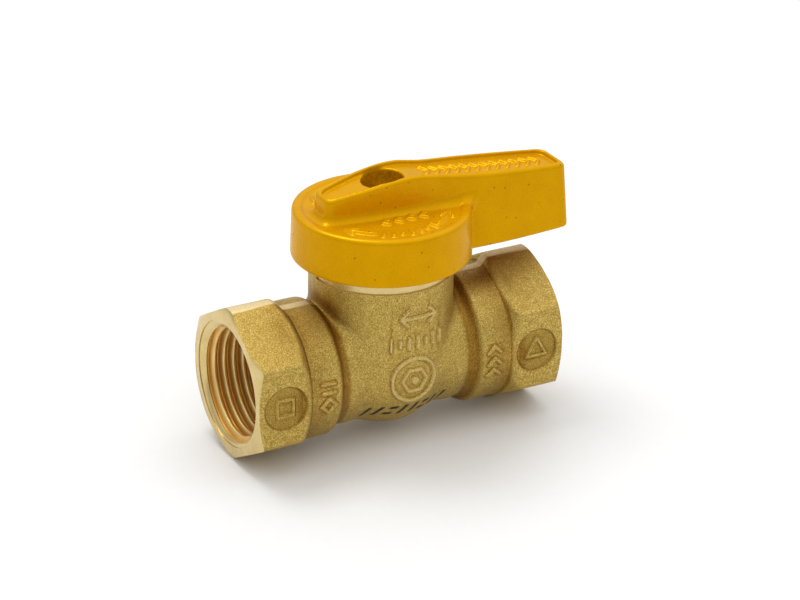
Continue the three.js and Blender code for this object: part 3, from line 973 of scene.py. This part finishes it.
def stop_rib(x, y, z, across, sign):
    """A rib inside the cup that meets the body's lug at one end of the handle's quarter turn."""
    near, far = (math.radians(sign * angle) for angle in (RIB_FROM, RIB_TO))
    past_far = (y * math.cos(far) - x * math.sin(far)) * sign
    short_of_near = (x * math.sin(near) - y * math.cos(near)) * sign
    behind = -x * math.cos(far) - y * math.sin(far)
    return np.maximum.reduce(np.broadcast_arrays(
        past_far, short_of_near, behind, RIB_INNER - across, RIB_BOTTOM - z))


def handle_shape():
    """The handle's casting: the cup with its rim, hub and ribs, and the lever with its panel and core."""
    low = (-CUP_RADIUS - 0.2, -CUP_RADIUS - 0.2, CUP_BOTTOM - 0.25)
    grid = Grid(low, (LEVER_TIP + 0.2, CUP_RADIUS + 0.2, LEVER_CREST + 0.5), GRID_STEP)
    x, y, z = grid.x, grid.y, grid.z
    across = np.sqrt(x ** 2 + y ** 2)
    ridge = lever_ridge(x)
    sides = lever_side(x, y, z)

    skirt = across - (CUP_RADIUS - CUP_DRAFT * (z - CUP_BOTTOM))
    rim = CUP_RIM_HEIGHT * step_between(across, CUP_RADIUS - CUP_RIM - 1.1, CUP_RADIUS - CUP_RIM - 0.3)
    cup = smooth_meet(skirt, z - CUP_TOP + CUP_RIM_HEIGHT - rim, 0.9)
    cup = smooth_meet(cup, CUP_BOTTOM - z, 0.4)

    lever = smooth_meet(sides, (z - ridge) * 0.99, 0.8)
    lever = smooth_meet(lever, CUP_BOTTOM - z, 0.5)
    shape = smooth_union(cup, lever, 0.4 + 1.5 * step_between(z, 25, 27))

    panel = smooth_meet(sides + PANEL_RIM, ridge - PANEL_DEPTH - z, 0.35)
    shape = smooth_cut(shape, panel, 0.4)
    shape = smooth_cut(shape, np.maximum(across - ACCESS_RADIUS, SCREW_SEAT - z), 0.3)

    cavity = smooth_meet(across - CUP_BORE, z - CUP_CEILING, 1.0)
    cavity = smooth_cut(cavity, np.maximum(across - HUB_RADIUS, HUB_BOTTOM - z), 0.5)
    for sign in (1, -1):
        cavity = smooth_cut(cavity, stop_rib(x, y, z, across, sign), 0.4)
    shape = smooth_cut(shape, cavity, 0.4)

    core = smooth_meet(sides + LEVER_WALL, z - ridge + LEVER_WALL + PANEL_DEPTH, 1.0)
    core = smooth_meet(core, slab(x, *LEVER_CORE), 1.0)
    shape = smooth_cut(shape, core, 0.4)

    drive = np.maximum(np.maximum(across - DRIVE_RADIUS, np.abs(y) - DRIVE_HALF), z - DRIVE_TOP)
    screw_hole = np.maximum(across - SCREW_HOLE_RADIUS, z - SCREW_SEAT - 0.5)
    shape = np.maximum(shape, -np.minimum(drive, screw_hole))
    return shape.astype(np.float32), grid


def disc_marks(x, y):
    """Raised marks on one half of the cup's top: a turn arrow round the rim, broken by a row of bars, and
    diamonds."""
    angle = np.arctan2(-y, x) - DISC_MARK_TURN
    arc = DISC_MARK_RADIUS * (angle - math.pi / 2)
    away = np.hypot(x, y) - DISC_MARK_RADIUS
    side = np.abs(arc)
    arrow = np.minimum(stroke(side, away, (6.2, 0), (11.5, 0)),
                       outline(side, away, [(9.6, -1.0), (11.6, 0), (9.6, 1.0)]))
    bars = [stroke(arc, away, (place, -0.9 * tall), (place, 0.9 * tall))
            for place, tall in zip(np.arange(-4.8, 5, 1.6), (1, 0.4, 1, 1, 0.4, 1, 1))]
    diamonds = [outline(x - 1.2 - place, y + 6.4, polygon(4, 0.85), closed=True)
                for place in (-3.6, -1.2, 1.2, 3.6)]
    away = np.minimum.reduce([arrow, *bars, *diamonds]) - PAINT_STROKE
    return raised(away, PAINT_MARK_HEIGHT, PAINT_MARK_FLANK)


def panel_marks(x, y):
    """A row of raised chevrons along the lever's panel, pointing to the tip."""
    place = (x - PANEL_MARKS[0]) % PANEL_MARK_PITCH
    chevron = outline(place, np.abs(y), [(0.3, 1.5), (1.35, 0.0)])
    height = raised(chevron - PAINT_STROKE, PAINT_MARK_HEIGHT, PAINT_MARK_FLANK)
    return np.where((x > PANEL_MARKS[0]) & (x < PANEL_MARKS[1]), height, 0)


def handle_marks(points):
    """Height of the raised marks at points on the handle."""
    x, y, z = points.T
    turned = np.where(y > 0, -1.0, 1.0)
    on_disc = (np.abs(z - CUP_TOP + CUP_RIM_HEIGHT) < 0.3) & (np.hypot(x, y) < CUP_RADIUS - CUP_RIM)
    on_panel = np.abs(z - lever_ridge(x) + PANEL_DEPTH) < 0.3
    height = np.where(on_disc, disc_marks(x * turned, y * turned), 0)
    return np.where(on_panel & (np.abs(y) < 3), panel_marks(x, y), height)


def build_handle():
    field, grid = handle_shape()
    points, quads = surface_net(field, grid)
    height = handle_marks(points)
    points = points + unit(slope(field, grid, points)) * height[:, None]
    handle = new_object("handle_casting", points, quads, PAINT)
    thin_out(handle, HANDLE_TRIANGLES, np.flatnonzero(height > 0.005))
    shade(handle, 60)
    return handle


# --- Inner and fastening parts ---

def half_circle(radius, count):
    """A lathe's profile for a ball, as so many points from pole to pole."""
    arc = [[radius * math.sin(angle), -radius * math.cos(angle)] for angle in np.linspace(0, math.pi, count)]
    arc[0][0] = arc[-1][0] = 0
    return arc


def build_ball():
    """The chromed ball, with a through bore and a slot on top for the stem."""
    ball = lathe("ball_chromed", half_circle(BALL_RADIUS, 49), "z", CHROME)
    bore = rounded([[0, -9], [BALL_BORE + 0.6, -9, 0], [BALL_BORE, -7.1, 0.5], [BALL_BORE, 7.1, 0.5],
                    [BALL_BORE + 0.6, 9, 0], [0, 9]])
    boolean(ball, lathe("bore", bore, "x", CHROME))
    half = BALL_SLOT / 2
    boolean(ball, block("slot", (-half, -10, BALL_SLOT_FLOOR), (half, 10, 10), CHROME))
    shade(ball, 30)
    return ball


def build_seat(side):
    """A plastic seat ring: a square section with a round face where the ball presses."""
    low, high = box_mm("seat_outlet")
    inner, ledge, ledge_x = 5.0, 7.0, 7.2
    clearance = 0.25
    profile = rounded([[inner, low.x], [high.y, low.x], [high.y, ledge_x], [ledge, ledge_x], [ledge, high.x],
                       [inner, high.x]])
    seat = lathe("seat_ring_outlet" if side > 0 else "seat_ring_inlet", profile, "x", PTFE)
    boolean(seat, lathe("ball_space", half_circle(BALL_RADIUS + clearance, 41), "x", PTFE))
    if side < 0:
        seat.data.transform(Matrix.Rotation(math.pi, 4, "Z"))
    weld(seat)
    shade(seat, 30)
    return seat


def build_retainer():
    """The brass ring that screws in behind the inlet seat, with a fine thread and two driver slots."""
    low, high = box_mm("seat_retainer")
    middle = high.y - 0.14
    ring = threaded_rod("seat_retainer_ring", "x", (low.x, high.x), (middle, middle),
                        pitch=1.0, height=0.26, run_out=0.6, material=TURNED, segments=96)
    hole = rounded([[0, low.x - 1], [PASSAGE_RADIUS + 1.4, low.x - 1, 0], [PASSAGE_RADIUS, low.x + 0.4, 0.3],
                    [PASSAGE_RADIUS, high.x + 1], [0, high.x + 1]])
    boolean(ring, lathe("hole", hole, "x", TURNED))
    boolean(ring, block("slot", (low.x - 1, -1.2, -10), (low.x + 1.6, 1.2, 10), TURNED))
    weld(ring)
    shade(ring, 40)
    return ring


def ring_seal(node):
    """A rubber ring of round section, in the place of its CAD node."""
    low, high = box_mm(node)
    size = high - low
    axis = "x" if size.x < size.z else "z"
    along = (low.x + high.x) / 2 if axis == "x" else (low.z + high.z) / 2
    section = (size.x if axis == "x" else size.z) / 2
    centre = size.y / 2 - section
    circle = [[centre + section * math.cos(angle), along + section * math.sin(angle)]
              for angle in np.linspace(0, 2 * math.pi, 17)[:-1]]
    seal = lathe(node + "_round", circle, axis, RUBBER)
    shade(seal, 60)
    return seal


def build_stem():
    """The stem: a flange inside the body, two grooves for rubber rings, and flats at both ends."""
    low, high = box_mm("stem")
    radius, groove, drive = STEM_RADIUS, STEM_GROOVE_RADIUS, STEM_DRIVE_RADIUS
    corners = [[0, low.z + 2.2], [high.y, low.z + 2.7], [high.y, low.z + 3.9], [radius, low.z + 3.9]]
    for seal in ("stem_oring_lower", "stem_oring_upper"):
        seal_low, seal_high = box_mm(seal)
        middle = (seal_low.z + seal_high.z) / 2
        bottom, top = middle - SEAL_GROOVE_HALF, middle + SEAL_GROOVE_HALF
        corners += [[radius, bottom], [groove, bottom], [groove, top], [radius, top]]
    corners += [[radius, STEM_FLATS_Z], [drive, STEM_FLATS_Z], [drive, high.z, 0.4], [0, high.z]]
    stem = lathe("stem_turned", rounded(corners, 0.12), "z", TURNED)
    tang = rounded([[0, low.z], [TANG_RADIUS, low.z, 0.4], [TANG_RADIUS, low.z + 3], [0, low.z + 3]])
    tang = lathe("tang", tang, "z", TURNED, 64)
    for side in (-1, 1):
        boolean(tang, block("flat", *sorted(((side * TANG_HALF, -9, 0), (side * 9, 9, 40))), TURNED))
    boolean(stem, tang, "UNION")
    for side in (-1, 1):
        flat_low, flat_high = sorted((side * STEM_FLATS_HALF, side * 9))
        boolean(stem, block("flat", (-9, flat_low, STEM_FLATS_Z), (9, flat_high, 40), TURNED))
    span = (high.z - 9.5, high.z + 2)
    boolean(stem, threaded_rod("tapped_hole", "z", span, (2.1, 2.1),
                               pitch=SCREW_PITCH, height=0.4, run_out=0.8, material=TURNED))
    weld(stem)
    shade(stem, 35)
    return stem


def build_screw():
    """A zinc-plated pan-head screw with a cross recess."""
    low, high = box_mm("handle_screw")
    head_bottom = high.z - 2.6
    radius = 1.7
    profile = rounded([
        [0, head_bottom - 0.6], [radius, head_bottom - 0.6, 0], [radius, head_bottom, 0.1],
        [high.x, head_bottom, 0.25], [high.x, high.z - 1.2, 0.5], [high.x - 0.9, high.z - 0.15, 0.7],
        [0, high.z],
    ])
    head = lathe("handle_screw_steel", profile, "z", ZINC)
    shank = threaded_rod("shank", "z", (low.z, head_bottom + 0.5), (radius, radius),
                         pitch=SCREW_PITCH, height=0.42, run_out=1.0, material=ZINC)
    boolean(head, shank, "UNION")
    arm = [(x, y, high.z + 1) for x, y in ((-2.0, -0.5), (2.0, -0.5), (2.0, 0.5), (-2.0, 0.5))]
    foot = [(x * 0.35, y * 0.8, high.z - 1.7) for x, y, _ in arm]
    faces = [[3, 2, 1, 0], [4, 5, 6, 7], [0, 1, 5, 4], [1, 2, 6, 5], [2, 3, 7, 6], [3, 0, 4, 7]]
    for quarter in range(2):
        turn = Matrix.Rotation(math.pi / 2 * quarter + 0.4, 3, "Z")
        corners = [turn @ Vector(corner) for corner in foot + arm]
        boolean(head, new_object("recess", corners, faces, ZINC))
    weld(head)
    shade(head, 30)
    return head


def washer(name, node, inner, rounding, material, start=0, sweep=360):
    """A flat ring in the place of its CAD node, or a sector of one."""
    low, high = box_mm(node)
    profile = rounded([[inner, low.z], [high.y, low.z], [high.y, high.z], [inner, high.z]], rounding)
    ring = lathe(name, profile, "z", material, start=start, sweep=sweep)
    shade(ring, 35)
    return ring


# --- Stage ---

def build_stage():
    """A wide white floor, just under the body."""
    height = BODY_LOW.z - 0.05
    half = 2000
    corners = [(x * half, y * half, height) for x, y in ((-1, -1), (1, -1), (1, 1), (-1, 1))]
    finish = Finish("floor_white", roughness=0.6)
    finish.put("Base Color", finish.spread(finish.noise(2.0), 0.80, 0.81))
    floor = new_object("floor", corners, [[0, 1, 2, 3]], finish.material)


# White tent: its light at the horizon, what is added towards +X and towards the top, and a softbox above.
TENT_LEVEL = 0.47
TENT_GAINS = (("X", 0.13), ("Z", 0.92))
SOFTBOX_PLACE = Vector((-0.12, 0.35, 0.85))
SOFTBOX_AIM = Vector((0, 0, 0.01))
SOFTBOX_SIDE = 0.38
SOFTBOX_POWER = 2.6


def build_lights():
    """A white tent, brightest overhead, and one softbox."""
    bpy.context.scene.view_settings.view_transform = "Standard"
    softbox = bpy.data.lights.new("top_softbox", "AREA")
    softbox.size = SOFTBOX_SIDE
    softbox.energy = SOFTBOX_POWER
    light = bpy.data.objects.new("top_softbox", softbox)
    light.location = SOFTBOX_PLACE
    light.rotation_euler = (SOFTBOX_AIM - SOFTBOX_PLACE).to_track_quat("-Z", "Y").to_euler()
    bpy.context.scene.collection.objects.link(light)

    world = bpy.data.worlds.new("studio")
    world.use_nodes = True
    tree = world.node_tree
    place = tree.nodes.new("ShaderNodeTexCoord").outputs["Generated"]
    axes = tree.nodes.new("ShaderNodeSeparateXYZ")
    tree.links.new(place, axes.inputs[0])
    strength = None
    for axis, gain in TENT_GAINS:
        scale = tree.nodes.new("ShaderNodeMath")
        scale.operation = "MULTIPLY_ADD"
        tree.links.new(axes.outputs[axis], scale.inputs[0])
        scale.inputs[1].default_value = gain
        scale.inputs[2].default_value = TENT_LEVEL
        if strength:
            tree.links.new(strength, scale.inputs[2])
        strength = scale.outputs[0]
    background = tree.nodes["Background"]
    background.inputs["Color"].default_value = (1, 1, 1, 1)
    tree.links.new(strength, background.inputs["Strength"])
    bpy.context.scene.world = world


# View direction in degrees, with a slight roll of the camera.
VIEW_AZIMUTH, VIEW_ELEVATION, VIEW_ROLL = -29.4, 25.3, 1.0
VIEW_TARGET = Vector((3.87, 0, 8.59)) * MM
VIEW_DISTANCE = 486 * MM
LENS = 126.3


def build_camera():
    """The photograph's view: right, up and back are the camera's own axes."""
    azimuth, elevation = math.radians(VIEW_AZIMUTH), math.radians(VIEW_ELEVATION)
    right = Vector((math.cos(azimuth), math.sin(azimuth), 0))
    ahead = Vector((-math.sin(azimuth), math.cos(azimuth), 0))
    back = Vector((0, 0, math.sin(elevation))) - ahead * math.cos(elevation)
    turn = Matrix((right, back.cross(right), back)).transposed().to_4x4()
    data = bpy.data.cameras.new("camera")
    data.lens = LENS
    data.clip_start = 0.01
    camera = bpy.data.objects.new("camera", data)
    roll = Matrix.Rotation(math.radians(VIEW_ROLL), 4, "Z")
    camera.matrix_world = Matrix.Translation(VIEW_TARGET + back * VIEW_DISTANCE) @ turn @ roll
    bpy.context.scene.collection.objects.link(camera)
    bpy.context.scene.camera = camera


# --- Assembly ---

def place_piece(piece, body, node):
    """Attaches a piece to what it rides on, and hides the CAD node it stands for."""
    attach(piece, body)
    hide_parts(node)


build_camera()
build_stage()
build_lights()
place_piece(build_body(), "body", "valve_body")
place_piece(build_handle(), "handle", "handle")
place_piece(build_ball(), "ball", "ball")
place_piece(build_seat(-1), "body", "seat_inlet")
place_piece(build_seat(1), "body", "seat_outlet")
place_piece(build_retainer(), "body", "seat_retainer")
place_piece(build_stem(), "handle", "stem")
thrust_ring = washer("stem_thrust_ring", "stem_thrust_washer", 4.3, 0.1, PTFE)
place_piece(thrust_ring, "body", "stem_thrust_washer")
place_piece(build_screw(), "handle", "handle_screw")
split_ring = washer("spring_washer_steel", "spring_washer", 2.15, 0.12, ZINC, 14, 332)
place_piece(split_ring, "handle", "spring_washer")
for seal in ("seat_oring_inlet", "seat_oring_outlet"):
    place_piece(ring_seal(seal), "body", seal)
for seal in ("stem_oring_lower", "stem_oring_upper"):
    place_piece(ring_seal(seal), "handle", seal)
